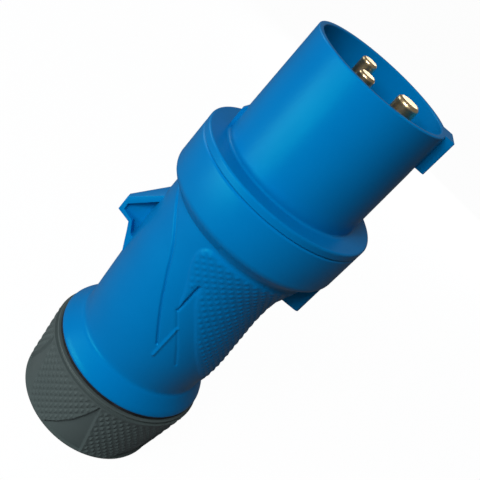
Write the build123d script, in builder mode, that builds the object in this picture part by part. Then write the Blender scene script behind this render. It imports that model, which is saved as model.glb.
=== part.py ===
from build123d import *

import os
from math import cos, radians, sin

# Industrial pin and sleeve plug, two poles and earth, in millimetres.
# It stands on the flat end of its gland nut, with the mouth of the sleeve upwards (+Z).
# The key and the earth pin are at +X, the hooked wing is at -X.

os.makedirs("parts", exist_ok=True)

# Clearances
moulding_clearance = 0.2
screw_clearance = 0.06
seat_gap = 0.05
thread_clearance = 0.3

# Sleeve and key
sleeve_depth = 37.2
mouth_radius = 22.0
sleeve_draft = 0.4
mouth_wall = 1.6
root_wall = 2.2
mouth_rounding = 0.4
sleeve_fillet = 0.8
key_length = 11.5
key_width = 8.0
key_height = 2.8
key_rounding = 0.4

# Rib on the sleeve's wing side, from the flange towards the mouth
rib_width = 2.0
rib_reach = 0.9
rib_length = 8.4
rib_ramp = 2.0

# Flange and the spigot behind it
flange_overhang = 4.5
flange_lip = 2.6
flange_rounding = 0.7
parting_chamfer = 0.3
spigot_step = 2.0
spigot_wall = 2.1
spigot_length = 8.6

# Lug that hooks the flange into the collar on the wing's side
lug_width = 8.0
lug_reach = 1.3
lug_height = 2.0

# Collar of the handle
collar_length = 13.4
collar_rounding = 1.2
collar_undercut = 4.2
upstand_wall = 1.7
gasket_height = 1.8
gasket_width = 1.4

# Grip: a round section that is shifted towards the wing at the waist
grip_wall = 2.6
shoulder_inset = 4.2
waist_radius = 22.9
waist_shift = 1.9
heel_growth = 0.45
heel_shift = 0.2
neck_inset = 4.25
waist_drop = 19.6
upper_rise = 8.0
upper_growth = 0.1
upper_shift = 1.75
heel_drop = 24.0
neck_drop = 7.5
neck_straight = 1.9
neck_fillet = 1.2
panel_height = 0.5
crease_width = 0.7
crease_depth = 0.35

# Outlines in the side view: distance from the axis and height above the waist
panel_points = (
    (-6.0, 18.4), (-7.6, 17.2), (-8.5, 14.2), (-8.1, 11.4), (-6.8, 8.0), (-4.0, 2.6),
    (-1.5, -4.4), (-1.5, 6.3), (1.6, -0.5), (5.8, -6.4), (10.3, -13.2), (18.9, -24.8),
    (waist_radius, -27.5), (2 * waist_radius, -27.5), (2 * waist_radius, 18.4),
)
crease_points = (
    (-23.5, 19.6), (-19.3, 15.6), (-14.6, 10.0), (-11.0, 2.9), (-7.3, -4.2), (-2.1, -13.3),
    (0.7, -17.8),
)

# Ring above the nut, and the tail that the nut screws on
ring_inset = 0.7
ring_shoulder = 8.5
ring_step = 1.65
ring_step_drop = 3.0
ring_step_rounding = 1.5
ring_top_rounding = 2.0
ring_band = 3.5
ring_rounding = 0.4
tail_wall = 3.6
tail_length = 14.3
seat_depth = 2.5
seat_thickness = 4.0
cable_way_radius = 9.0

# Wing: drops from the grip's shoulder, and reaches beyond the waist's radius
wing_root_width = 9.2
wing_tip_width = 2.4
wing_wall = 1.2
wing_roof_drop = 1.6
wing_web = 1.6
wing_top_drop = 5.8
wing_tip_drop = 18.0
wing_tip_height = 4.8
wing_heel_drop = 0.4
wing_end_drop = 33.1
wing_root_sink = 0.9
wing_tip_reach = 9.6
wing_heel_reach = 4.6
wing_end_reach = 0.5
wing_hollow = 0.2
wing_pocket_reach = 1.9
wing_rounding = 0.5

# Tab on the key's side, and the screw that holds flange and handle together
tab_width = 12.0
tab_drop = 13.8
tab_inset = 0.4
tab_depth = 7.8
tab_rounding = 1.5
housing_screw_radius = 1.45
housing_screw_length = 19.0
housing_head_radius = 2.5
housing_head_height = 1.8
housing_head_sink = 3.5
boss_wall = 1.3

# Contacts
pin_circle_radius = 9.3
earth_pin_radius = 3.5
power_pin_radius = 2.5
earth_tip_drop = 0.1
power_tip_drop = 0.3
pin_tip_share = 0.35
pin_groove_depth = 0.3
pin_groove_height = 0.5
pin_clearance = 0.1
earth_barrel_radius = 4.8
power_barrel_radius = 4.2
barrel_length = 12.0
barrel_cover = 1.5
wire_hole_radius = 2.2
wire_hole_depth = 9.5
wire_way_radius = 2.6

# Terminal screws and the pressure plates under them
terminal_screw_radius = 1.95
terminal_screw_rise = 4.5
terminal_head_radius = 2.9
terminal_head_height = 1.8
head_clearance = 0.25
slot_width = 0.8
slot_depth = 0.9
plate_thickness = 0.5
plate_width = 2.4
plate_length = 6.0
plate_offset = 1.05

# Contact carrier and the plate that keeps the pins in it
carrier_recess = 0.3
carrier_seat_depth = 6.0
carrier_flange_height = 3.0
carrier_inset = 3.7
retainer_inset = 0.4
retainer_thickness = 2.5
retainer_screw_circle = 12.0
retainer_screw_angle = 60.0
retainer_screw_radius = 1.45
retainer_screw_length = 9.0
retainer_head_radius = 2.6
retainer_head_height = 1.6

# Gland nut
nut_gap = 0.7
nut_length = 26.8
nut_top_radius = 27.7
nut_taper = 2.3
nut_wall = 5.4
nut_lip_inset = 0.7
nut_lip_height = 1.1
nut_groove_inset = 1.4
nut_groove_height = 0.7
nut_lip_wall = 2.4
nut_end_rounding = 1.2
nut_end_wall = 2.8
nut_thread_length = 12.5
nut_cone_step = 1.3
nut_cone_fall = 4.2
nut_field_count = 6
nut_field_turn = 88.0
nut_field_depth = 0.9
nut_field_drop = 1.1
nut_field_left = 11.0
nut_field_right = 5.4
nut_field_bow = 1.8

# Pieces inside the nut
ring_seal_section = 1.0
thrust_ring_inset = 0.6
thrust_ring_height = 2.1
claw_base_height = 3.0
claw_inset = 0.8
claw_tip_taper = 2.0
claw_tip_height = 4.0
claw_wall = 3.0
claw_count = 8
claw_slot = 2.0
claw_root = 2.0
seal_bore_radius = 7.0
seal_rise = 3.0

# Heights from the nut's end up to the mouth
ring_bottom_z = nut_length + nut_gap
ring_top_z = ring_bottom_z + ring_band
neck_z = ring_top_z + ring_shoulder
heel_z = neck_z + neck_drop
waist_z = heel_z + heel_drop
shoulder_z = waist_z + waist_drop
collar_bottom_z = shoulder_z + collar_undercut
parting_z = collar_bottom_z + collar_length
flange_top_z = parting_z + flange_lip
mouth_z = flange_top_z + sleeve_depth

# Heights of the inner pieces
spigot_end_z = parting_z - spigot_length
collar_floor_z = spigot_end_z - moulding_clearance
carrier_face_z = flange_top_z - carrier_recess
carrier_seat_z = flange_top_z - carrier_seat_depth
carrier_flange_z = carrier_seat_z - carrier_flange_height
barrel_top_z = carrier_seat_z - barrel_cover
barrel_bottom_z = barrel_top_z - barrel_length
terminal_screw_z = barrel_bottom_z + terminal_screw_rise
retainer_bottom_z = barrel_bottom_z - retainer_thickness
tab_bottom_z = collar_bottom_z - tab_drop
housing_head_z = tab_bottom_z + housing_head_sink
seat_z = ring_bottom_z - seat_depth
tail_end_z = ring_bottom_z - tail_length
nut_shelf_z = nut_length - nut_lip_height - nut_groove_height
nut_thread_foot_z = nut_shelf_z - nut_thread_length
thrust_ring_z = nut_end_wall + seat_gap
claw_tip_z = thrust_ring_z + thrust_ring_height + seat_gap
claw_base_z = seat_z - seat_gap - claw_base_height

# Radii of the shroud, its carrier and the collar, from the mouth
mouth_bore_radius = mouth_radius - mouth_wall
sleeve_root_radius = mouth_radius + sleeve_draft
root_bore_radius = sleeve_root_radius - root_wall
spigot_radius = sleeve_root_radius + spigot_step
spigot_bore_radius = spigot_radius - spigot_wall
flange_radius = spigot_radius + flange_overhang
shoulder_radius = flange_radius - shoulder_inset
collar_bore_radius = spigot_radius + moulding_clearance
upstand_radius = spigot_bore_radius - moulding_clearance
upstand_bore_radius = upstand_radius - upstand_wall
gasket_radius = spigot_radius + seat_gap
carrier_radius = spigot_bore_radius - carrier_inset
retainer_radius = carrier_radius - retainer_inset
tab_radius = flange_radius - tab_inset
housing_screw_circle = spigot_radius
boss_half_width = housing_screw_radius + boss_wall

# Radii of the ring, the nut and what it holds, from the nut's top
nut_end_radius = nut_top_radius - nut_taper
nut_lip_radius = nut_top_radius - nut_lip_inset
nut_lip_bore_radius = nut_lip_radius - nut_lip_wall
nut_groove_radius = nut_top_radius - nut_groove_inset
nut_bore_radius = nut_top_radius - nut_wall
nut_cone_top_radius = nut_bore_radius - nut_cone_step
nut_cone_foot_radius = nut_cone_top_radius - nut_cone_fall
tail_radius = nut_bore_radius - thread_clearance
tail_bore_radius = tail_radius - tail_wall
ring_radius = nut_top_radius - ring_inset
neck_radius = ring_radius - neck_inset
heel_radius = neck_radius + heel_growth
thrust_ring_radius = nut_cone_foot_radius - thrust_ring_inset
claw_radius = tail_bore_radius - claw_inset
claw_tip_radius = claw_radius - claw_tip_taper
claw_bore_radius = claw_radius - claw_wall

# Radii of the wing, and of the grip above its waist
upper_radius = waist_radius + upper_growth
wing_root_radius = waist_radius - wing_root_sink
wing_tip_radius = waist_radius + wing_tip_reach
wing_heel_radius = waist_radius + wing_heel_reach
wing_end_radius = waist_radius + wing_end_reach
wing_pocket_radius = waist_radius + wing_pocket_reach
across = 2 * (flange_radius + wing_tip_radius)

contacts = (
    ("earth", 0.0, earth_pin_radius, earth_barrel_radius, earth_tip_drop),
    ("line", 120.0, power_pin_radius, power_barrel_radius, power_tip_drop),
    ("neutral", -120.0, power_pin_radius, power_barrel_radius, power_tip_drop),
)


def corner(profile, x, z):
    """Vertex of a profile sketch that lies nearest the point x, z."""
    return profile.vertices().sort_by_distance((x, z))[0]


def around(radius, angle):
    """Point in plan at a radius and an angle from the key."""
    return radius * cos(radians(angle)), radius * sin(radians(angle))


def radial_plane(radius, angle, height):
    """Plane that faces outwards at a radius, an angle and a height."""
    x, y = around(radius, angle)
    return Plane(origin=(x, y, height), x_dir=(0, 0, 1), z_dir=(*around(1.0, angle), 0))


def grip_form(growth):
    """Solid of the grip from neck to shoulder, with each radius changed by growth."""
    stations = (
        (shoulder_z, shoulder_radius, 0.0),
        (waist_z + upper_rise, upper_radius, upper_shift),
        (waist_z, waist_radius, waist_shift),
        ((waist_z + heel_z) / 2, (waist_radius + heel_radius) / 2, (waist_shift + heel_shift) / 2),
        (heel_z, heel_radius, heel_shift),
        (neck_z, neck_radius, 0.0),
    )
    with BuildPart() as form:
        for height, radius, shift in stations:
            with BuildSketch(Plane.XY.offset(height)):
                with Locations((-shift, 0)):
                    Circle(radius + growth)
        loft()
    return form.part


# Front shroud: sleeve, key, flange lip and the spigot that enters the collar
with BuildPart() as front_shroud:
    with BuildSketch(Plane.XZ) as shroud_profile:
        with BuildLine():
            Polyline(
                (mouth_bore_radius, mouth_z),
                (mouth_radius, mouth_z),
                (sleeve_root_radius, flange_top_z),
                (flange_radius, flange_top_z),
                (flange_radius, parting_z),
                (spigot_radius, parting_z),
                (spigot_radius, spigot_end_z),
                (spigot_bore_radius, spigot_end_z),
                (spigot_bore_radius, carrier_seat_z),
                (root_bore_radius, carrier_seat_z),
                close=True,
            )
        make_face()
        fillet(corner(shroud_profile, mouth_bore_radius, mouth_z), mouth_rounding)
        fillet(corner(shroud_profile, mouth_radius, mouth_z), mouth_rounding)
        fillet(corner(shroud_profile, sleeve_root_radius, flange_top_z), sleeve_fillet)
        fillet(corner(shroud_profile, flange_radius, flange_top_z), flange_rounding)
        chamfer(corner(shroud_profile, flange_radius, parting_z), parting_chamfer)
    revolve(axis=Axis.Z)
    key_middle = mouth_radius - mouth_wall / 2
    key_outside = mouth_radius + key_height
    with BuildSketch(Plane.XY.offset(mouth_z)) as key_plan:
        with Locations(((key_middle + key_outside) / 2, 0)):
            Rectangle(key_outside - key_middle, key_width)
        fillet(key_plan.vertices().sort_by(Axis.X)[-2:], key_rounding)
    key_block = extrude(amount=-key_length, mode=Mode.PRIVATE)
    with BuildSketch(Plane.XZ) as key_side:
        with Locations(((key_middle + key_outside) / 2, mouth_z - key_length / 2)):
            Rectangle(key_outside - key_middle, key_length)
        fillet(key_side.vertices().sort_by(Axis.X)[-2:], key_rounding)
    key_slab = extrude(amount=key_width, both=True, mode=Mode.PRIVATE)
    add(key_block & key_slab)
    rib_inside = mouth_radius - mouth_wall / 2
    rib_outside = sleeve_root_radius + rib_reach
    with BuildSketch(Plane.XZ):
        Polygon(
            (-rib_inside, flange_top_z),
            (-rib_outside, flange_top_z),
            (-rib_outside, flange_top_z + rib_length - rib_ramp),
            (-mouth_radius, flange_top_z + rib_length),
            (-rib_inside, flange_top_z + rib_length),
            align=None,
        )
    extrude(amount=rib_width / 2, both=True)
    boss_inside = spigot_radius - spigot_wall / 2
    boss_outside = housing_screw_circle + boss_half_width
    boss_height = spigot_length - gasket_height - 2 * seat_gap
    with BuildSketch(Plane.XY.offset(spigot_end_z)):
        with Locations(((boss_inside + boss_outside) / 2, 0)):
            Rectangle(boss_outside - boss_inside, 2 * boss_half_width)
    extrude(amount=boss_height)
    with BuildSketch(Plane.XY.offset(spigot_end_z)):
        with Locations((housing_screw_circle, 0)):
            Circle(housing_screw_radius + screw_clearance)
    extrude(amount=boss_height, mode=Mode.SUBTRACT)
    with BuildSketch(Plane.XY.offset(spigot_end_z)):
        with Locations((-spigot_radius - (lug_reach - spigot_wall / 2) / 2, 0)):
            Rectangle(lug_reach + spigot_wall / 2, lug_width)
    extrude(amount=lug_height)
front_shroud.part.label = "front_shroud"
export_step(front_shroud.part, "parts/front_shroud.step")

# Raised grip panels on both flanks, joined round the key's side
with BuildPart() as panel_slab:
    with BuildSketch(Plane.XZ):
        with Locations((0, waist_z)):
            Polygon(*panel_points, align=None)
    extrude(amount=across, both=True)
grip_panels = grip_form(panel_height) & panel_slab.part

# Crease that sweeps down each flank from the wing to the ring
with BuildPart() as crease_slab:
    with BuildSketch(Plane.XZ):
        with BuildLine():
            Spline(*((x, waist_z + rise) for x, rise in crease_points))
        trace(line_width=crease_width)
    extrude(amount=across, both=True)
grip_skin = grip_form(panel_height) - grip_form(-crease_depth)
crease_cut = grip_skin & crease_slab.part

# Wing: a ramp that narrows to a hook, hollowed from both sides down to a web
wing_top_z = shoulder_z - wing_top_drop
wing_tip_z = shoulder_z - wing_tip_drop
wing_hook_z = wing_tip_z - wing_tip_height
wing_end_z = shoulder_z - wing_end_drop
with BuildPart() as wing:
    with BuildSketch(Plane.XZ) as wing_outline:
        with BuildLine():
            ramp = Line((-wing_root_radius, wing_top_z), (-wing_tip_radius, wing_tip_z))
            front = Line(ramp @ 1, (-wing_tip_radius, wing_hook_z))
            wing_heel_z = wing_hook_z - wing_heel_drop
            hook = Line(front @ 1, (-wing_heel_radius, wing_heel_z))
            foot = (-wing_end_radius, wing_end_z)
            sagged = (
                wing_hollow - (wing_heel_radius + wing_end_radius) / 2,
                (wing_heel_z + wing_end_z) / 2,
            )
            back = ThreePointArc(hook @ 1, sagged, foot)
            inside = grip_wall - waist_radius
            Polyline(back @ 1, (inside, wing_end_z), (inside, wing_top_z), ramp @ 0)
        make_face()
        fillet(corner(wing_outline, -wing_tip_radius, wing_tip_z), wing_rounding)
        fillet(corner(wing_outline, -wing_tip_radius, wing_hook_z), wing_rounding)
    extrude(amount=wing_root_width / 2, both=True)
    with BuildSketch(Plane.XY.offset(wing_end_z)):
        Polygon(
            (-wing_tip_radius, -wing_tip_width / 2),
            (-wing_tip_radius, wing_tip_width / 2),
            (-wing_root_radius, wing_root_width / 2),
            (inside, wing_root_width / 2),
            (inside, -wing_root_width / 2),
            (-wing_root_radius, -wing_root_width / 2),
            align=None,
        )
    extrude(amount=wing_top_z - wing_end_z, mode=Mode.INTERSECT)
    with BuildSketch(Plane.XZ) as pocket_outline:
        add(wing_outline.sketch_local)
        offset(amount=-wing_wall, mode=Mode.REPLACE)
        with Locations((0, -wing_roof_drop)):
            add(wing_outline.sketch_local, mode=Mode.INTERSECT)
        pocket_span = wing_tip_radius - wing_pocket_radius
        with Locations((-wing_pocket_radius - pocket_span / 2, (wing_top_z + wing_end_z) / 2)):
            Rectangle(pocket_span, wing_top_z - wing_end_z, mode=Mode.INTERSECT)
    pocket = extrude(amount=wing_root_width, both=True, mode=Mode.PRIVATE)
    with Locations((-wing_pocket_radius, 0, (wing_top_z + wing_end_z) / 2)):
        web = Box(across, wing_web, across, mode=Mode.PRIVATE)
    add(pocket - web, mode=Mode.SUBTRACT)

# Tab behind the collar on the key's side
with BuildPart() as tab:
    with BuildSketch(Plane.XY.offset(tab_bottom_z)):
        Circle(tab_radius)
        with Locations((tab_radius - tab_depth / 2, 0)):
            Rectangle(tab_depth, tab_width, mode=Mode.INTERSECT)
    extrude(amount=tab_drop + collar_rounding)
    tab_edges = tab.edges().filter_by(Axis.Z).sort_by(Axis.X)[-2:]
    fillet(tab_edges, tab_rounding)
    rear_edge = tab.edges().group_by(Axis.Z)[0].filter_by(GeomType.CIRCLE).sort_by(Axis.X)
    fillet(rear_edge, tab_rounding / 2)

# Handle shell: collar, grip, wing, tab, ring and tail in one moulding
hollow_grip = grip_form(-grip_wall)
solid_grip = grip_form(0.0)
with BuildPart() as handle_shell:
    add(solid_grip)
    with BuildSketch(Plane.XZ) as collar_profile:
        with BuildLine():
            Polyline(
                (0, shoulder_z),
                (shoulder_radius, shoulder_z),
                (flange_radius, collar_bottom_z),
                (flange_radius, parting_z),
                (0, parting_z),
                close=True,
            )
        make_face()
        fillet(corner(collar_profile, flange_radius, collar_bottom_z), collar_rounding)
        chamfer(corner(collar_profile, flange_radius, parting_z), parting_chamfer)
    revolve(axis=Axis.Z)
    with BuildSketch(Plane.XZ) as ring_profile:
        neck_foot_z = neck_z - neck_straight
        step_z = neck_z - ring_step_drop
        with BuildLine():
            Polyline(
                (neck_radius, neck_z),
                (neck_radius, neck_foot_z),
                (neck_radius + ring_step, step_z),
                (ring_radius, ring_top_z),
                (ring_radius, ring_bottom_z),
                (tail_radius, ring_bottom_z),
                (tail_radius, tail_end_z),
                (0, tail_end_z),
                (0, neck_z),
                close=True,
            )
        make_face()
        fillet(corner(ring_profile, neck_radius, neck_foot_z), neck_fillet)
        fillet(corner(ring_profile, neck_radius + ring_step, step_z), ring_step_rounding)
        fillet(corner(ring_profile, ring_radius, ring_top_z), ring_top_rounding)
        fillet(corner(ring_profile, ring_radius, ring_bottom_z), ring_rounding)
    revolve(axis=Axis.Z)
    add(grip_panels)
    add(crease_cut, mode=Mode.SUBTRACT)
    add(wing.part)
    add(tab.part)
    add(hollow_grip, mode=Mode.SUBTRACT)
    with BuildSketch(Plane.XZ):
        with BuildLine():
            Polyline(
                (0, parting_z),
                (gasket_radius + gasket_width + seat_gap, parting_z),
                (gasket_radius + gasket_width + seat_gap, parting_z - gasket_height - seat_gap),
                (collar_bore_radius, parting_z - gasket_height - seat_gap),
                (collar_bore_radius, collar_floor_z),
                (upstand_radius, collar_floor_z),
                (upstand_radius, carrier_flange_z - seat_gap),
                (upstand_bore_radius, carrier_flange_z - seat_gap),
                (upstand_bore_radius, shoulder_z),
                (0, shoulder_z),
                close=True,
            )
        make_face()
    revolve(axis=Axis.Z, mode=Mode.SUBTRACT)
    with BuildSketch(Plane.XZ):
        with BuildLine():
            Polyline(
                (0, neck_z),
                (neck_radius - grip_wall, neck_z),
                (tail_bore_radius, seat_z + seat_thickness),
                (cable_way_radius, seat_z + seat_thickness),
                (cable_way_radius, seat_z),
                (tail_bore_radius, seat_z),
                (tail_bore_radius, tail_end_z),
                (0, tail_end_z),
                close=True,
            )
        make_face()
    revolve(axis=Axis.Z, mode=Mode.SUBTRACT)
    pocket_outside = boss_outside + moulding_clearance
    with BuildSketch(Plane.XY.offset(parting_z)):
        with Locations((pocket_outside / 2, 0)):
            Rectangle(pocket_outside, 2 * (boss_half_width + moulding_clearance))
        Circle(upstand_radius, mode=Mode.SUBTRACT)
    extrude(amount=collar_floor_z - parting_z, mode=Mode.SUBTRACT)
    lug_outside = spigot_radius + lug_reach + moulding_clearance
    with BuildSketch(Plane.XY.offset(collar_floor_z)):
        with Locations((-lug_outside / 2, 0)):
            Rectangle(lug_outside, lug_width + 2 * moulding_clearance)
        Circle(upstand_radius, mode=Mode.SUBTRACT)
    extrude(amount=lug_height + 2 * moulding_clearance, mode=Mode.SUBTRACT)
    with BuildSketch(Plane.XY.offset(tab_bottom_z)):
        with Locations((housing_screw_circle, 0)):
            Circle(housing_head_radius + screw_clearance)
    extrude(amount=housing_head_sink + housing_head_height, mode=Mode.SUBTRACT)
    with BuildSketch(Plane.XY.offset(tab_bottom_z)):
        with Locations((housing_screw_circle, 0)):
            Circle(housing_screw_radius + screw_clearance)
    extrude(amount=collar_floor_z - tab_bottom_z, mode=Mode.SUBTRACT)
handle_shell.part.label = "handle_shell"
export_step(handle_shell.part, "parts/handle_shell.step")

# Gasket between flange and collar
with BuildPart() as housing_gasket:
    with BuildSketch(Plane.XY.offset(parting_z - gasket_height)):
        Circle(gasket_radius + gasket_width)
        Circle(gasket_radius, mode=Mode.SUBTRACT)
    extrude(amount=gasket_height - seat_gap)
housing_gasket.part.label = "housing_gasket"
export_step(housing_gasket.part, "parts/housing_gasket.step")

# Screw from the rear of the tab into the shroud's boss
with BuildPart() as housing_screw:
    with BuildSketch(Plane.XY.offset(housing_head_z)):
        with Locations((housing_screw_circle, 0)):
            Circle(housing_head_radius)
    extrude(amount=housing_head_height)
    with BuildSketch(Plane.XY.offset(housing_head_z + housing_head_height)):
        with Locations((housing_screw_circle, 0)):
            Circle(housing_screw_radius)
    extrude(amount=housing_screw_length)
    with BuildSketch(Plane.XY.offset(housing_head_z)):
        with Locations((housing_screw_circle, 0)):
            Rectangle(2 * housing_head_radius, slot_width)
    extrude(amount=slot_depth, mode=Mode.SUBTRACT)
housing_screw.part.label = "housing_screw"
export_step(housing_screw.part, "parts/housing_screw.step")

# Contact carrier: the insulating block that closes the sleeve's root
with BuildPart() as contact_carrier:
    with BuildSketch(Plane.XZ):
        with BuildLine():
            Polyline(
                (0, carrier_face_z),
                (root_bore_radius - moulding_clearance, carrier_face_z),
                (root_bore_radius - moulding_clearance, carrier_seat_z),
                (spigot_bore_radius - moulding_clearance, carrier_seat_z),
                (spigot_bore_radius - moulding_clearance, carrier_flange_z),
                (carrier_radius, carrier_flange_z),
                (carrier_radius, barrel_bottom_z),
                (0, barrel_bottom_z),
                close=True,
            )
        make_face()
    revolve(axis=Axis.Z)
    for _, angle, shank, barrel, _ in contacts:
        with BuildSketch(Plane.XY.offset(barrel_bottom_z)):
            with Locations(around(pin_circle_radius, angle)):
                Circle(barrel + pin_clearance)
        extrude(amount=barrel_length + seat_gap, mode=Mode.SUBTRACT)
        with BuildSketch(Plane.XY.offset(barrel_top_z)):
            with Locations(around(pin_circle_radius, angle)):
                Circle(shank + pin_clearance)
        extrude(amount=carrier_face_z - barrel_top_z, mode=Mode.SUBTRACT)
        with BuildSketch(radial_plane(pin_circle_radius, angle, terminal_screw_z)):
            Circle(terminal_head_radius + head_clearance)
        extrude(amount=carrier_radius, mode=Mode.SUBTRACT)
    for side in (-1, 1):
        with BuildSketch(Plane.XY.offset(barrel_bottom_z)):
            with Locations(around(retainer_screw_circle, side * retainer_screw_angle)):
                Circle(retainer_screw_radius + screw_clearance)
        extrude(amount=retainer_screw_length - retainer_thickness + seat_gap, mode=Mode.SUBTRACT)
contact_carrier.part.label = "contact_carrier"
export_step(contact_carrier.part, "parts/contact_carrier.step")

# Retainer plate behind the carrier
with BuildPart() as pin_retainer:
    with BuildSketch(Plane.XY.offset(retainer_bottom_z)):
        Circle(retainer_radius)
        for _, angle, _, _, _ in contacts:
            with Locations(around(pin_circle_radius, angle)):
                Circle(wire_way_radius, mode=Mode.SUBTRACT)
        for side in (-1, 1):
            with Locations(around(retainer_screw_circle, side * retainer_screw_angle)):
                Circle(retainer_screw_radius + screw_clearance, mode=Mode.SUBTRACT)
    extrude(amount=retainer_thickness)
pin_retainer.part.label = "pin_retainer"
export_step(pin_retainer.part, "parts/pin_retainer.step")

# Two screws that hold the retainer plate to the carrier
for side, name in ((-1, "near_retainer_screw"), (1, "far_retainer_screw")):
    screw_place = around(retainer_screw_circle, side * retainer_screw_angle)
    with BuildPart() as retainer_screw:
        with BuildSketch(Plane.XY.offset(retainer_bottom_z - retainer_head_height)):
            with Locations(screw_place):
                Circle(retainer_head_radius)
        extrude(amount=retainer_head_height)
        with BuildSketch(Plane.XY.offset(retainer_bottom_z)):
            with Locations(screw_place):
                Circle(retainer_screw_radius)
        extrude(amount=retainer_screw_length)
        with BuildSketch(Plane.XY.offset(retainer_bottom_z - retainer_head_height)):
            with Locations(screw_place):
                Rectangle(2 * retainer_head_radius, slot_width)
        extrude(amount=slot_depth, mode=Mode.SUBTRACT)
    retainer_screw.part.label = name
    export_step(retainer_screw.part, f"parts/{name}.step")

# Pins with their terminal barrels, the terminal screws and the pressure plates
for name, angle, shank, barrel, tip_drop in contacts:
    pin_place = around(pin_circle_radius, angle)
    with BuildPart() as pin:
        with BuildSketch(Plane.XY.offset(barrel_bottom_z)):
            with Locations(pin_place):
                Circle(barrel)
        extrude(amount=barrel_length)
        with BuildSketch(Plane.XY.offset(barrel_top_z)):
            with Locations(pin_place):
                Circle(shank)
        extrude(amount=mouth_z - tip_drop - barrel_top_z)
        fillet(pin.edges().sort_by(Axis.Z)[-1], pin_tip_share * shank)
        with BuildSketch(Plane.XY.offset(carrier_face_z)):
            with Locations(pin_place):
                Circle(barrel)
                Circle(shank - pin_groove_depth, mode=Mode.SUBTRACT)
        extrude(amount=pin_groove_height, mode=Mode.SUBTRACT)
        with BuildSketch(Plane.XY.offset(barrel_bottom_z)):
            with Locations(pin_place):
                Circle(wire_hole_radius)
        extrude(amount=wire_hole_depth, mode=Mode.SUBTRACT)
        with BuildSketch(radial_plane(pin_circle_radius, angle, terminal_screw_z)):
            Circle(terminal_screw_radius + screw_clearance)
        extrude(amount=2 * barrel, mode=Mode.SUBTRACT)
    pin.part.label = f"{name}_pin"
    export_step(pin.part, f"parts/{name}_pin.step")

    plate_inside = pin_circle_radius + plate_offset
    plate_outside = plate_inside + plate_thickness
    with BuildPart() as pressure_plate:
        with BuildSketch(radial_plane(plate_inside, angle, terminal_screw_z)):
            Rectangle(plate_length, plate_width)
        extrude(amount=plate_thickness)
    pressure_plate.part.label = f"{name}_pressure_plate"
    export_step(pressure_plate.part, f"parts/{name}_pressure_plate.step")

    screw_tip = plate_outside + seat_gap
    head_foot = pin_circle_radius + barrel + seat_gap
    head_top = head_foot + terminal_head_height
    with BuildPart() as terminal_screw:
        with BuildSketch(radial_plane(screw_tip, angle, terminal_screw_z)):
            Circle(terminal_screw_radius)
        extrude(amount=head_foot - screw_tip)
        with BuildSketch(radial_plane(head_foot, angle, terminal_screw_z)):
            Circle(terminal_head_radius)
        extrude(amount=terminal_head_height)
        with BuildSketch(radial_plane(head_top, angle, terminal_screw_z)):
            Rectangle(slot_width, 2 * terminal_head_radius)
        extrude(amount=-slot_depth, mode=Mode.SUBTRACT)
    terminal_screw.part.label = f"{name}_terminal_screw"
    export_step(terminal_screw.part, f"parts/{name}_terminal_screw.step")

# Seal ring round the tail, under the ring of the handle
with BuildPart() as nut_seal_ring:
    seal_centre = tail_radius + seat_gap + ring_seal_section
    with BuildSketch(Plane.XZ):
        with Locations((seal_centre, ring_bottom_z - seat_gap - ring_seal_section)):
            Circle(ring_seal_section)
    revolve(axis=Axis.Z)
nut_seal_ring.part.label = "nut_seal_ring"
export_step(nut_seal_ring.part, "parts/nut_seal_ring.step")

# Slotted claws that grip the cable
with BuildPart() as clamp_claws:
    with BuildSketch(Plane.XZ):
        with BuildLine():
            Polyline(
                (claw_bore_radius, seat_z - seat_gap),
                (tail_bore_radius - moulding_clearance, seat_z - seat_gap),
                (tail_bore_radius - moulding_clearance, claw_base_z),
                (claw_radius, claw_base_z),
                (claw_radius, claw_tip_z + claw_tip_height),
                (claw_tip_radius, claw_tip_z),
                (claw_bore_radius, claw_tip_z),
                close=True,
            )
        make_face()
    revolve(axis=Axis.Z)
    with BuildSketch(Plane.XY.offset(claw_tip_z)):
        with PolarLocations(claw_radius, claw_count):
            Rectangle(claw_radius, claw_slot)
    extrude(amount=claw_base_z - claw_root - claw_tip_z, mode=Mode.SUBTRACT)
clamp_claws.part.label = "clamp_claws"
export_step(clamp_claws.part, "parts/clamp_claws.step")

# Rubber bush that seals on the cable
with BuildPart() as gland_seal:
    seal_bottom_z = claw_tip_z + seal_rise
    with BuildSketch(Plane.XY.offset(seal_bottom_z)):
        Circle(claw_bore_radius - moulding_clearance)
        Circle(seal_bore_radius, mode=Mode.SUBTRACT)
    extrude(amount=seat_z - seat_gap - seal_bottom_z)
gland_seal.part.label = "gland_seal"
export_step(gland_seal.part, "parts/gland_seal.step")

# Thrust ring: the nut turns on it and it pushes the claws
with BuildPart() as thrust_ring:
    with BuildSketch(Plane.XY.offset(thrust_ring_z)):
        Circle(thrust_ring_radius)
        Circle(cable_way_radius + moulding_clearance, mode=Mode.SUBTRACT)
    extrude(amount=thrust_ring_height)
thrust_ring.part.label = "thrust_ring"
export_step(thrust_ring.part, "parts/thrust_ring.step")

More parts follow.
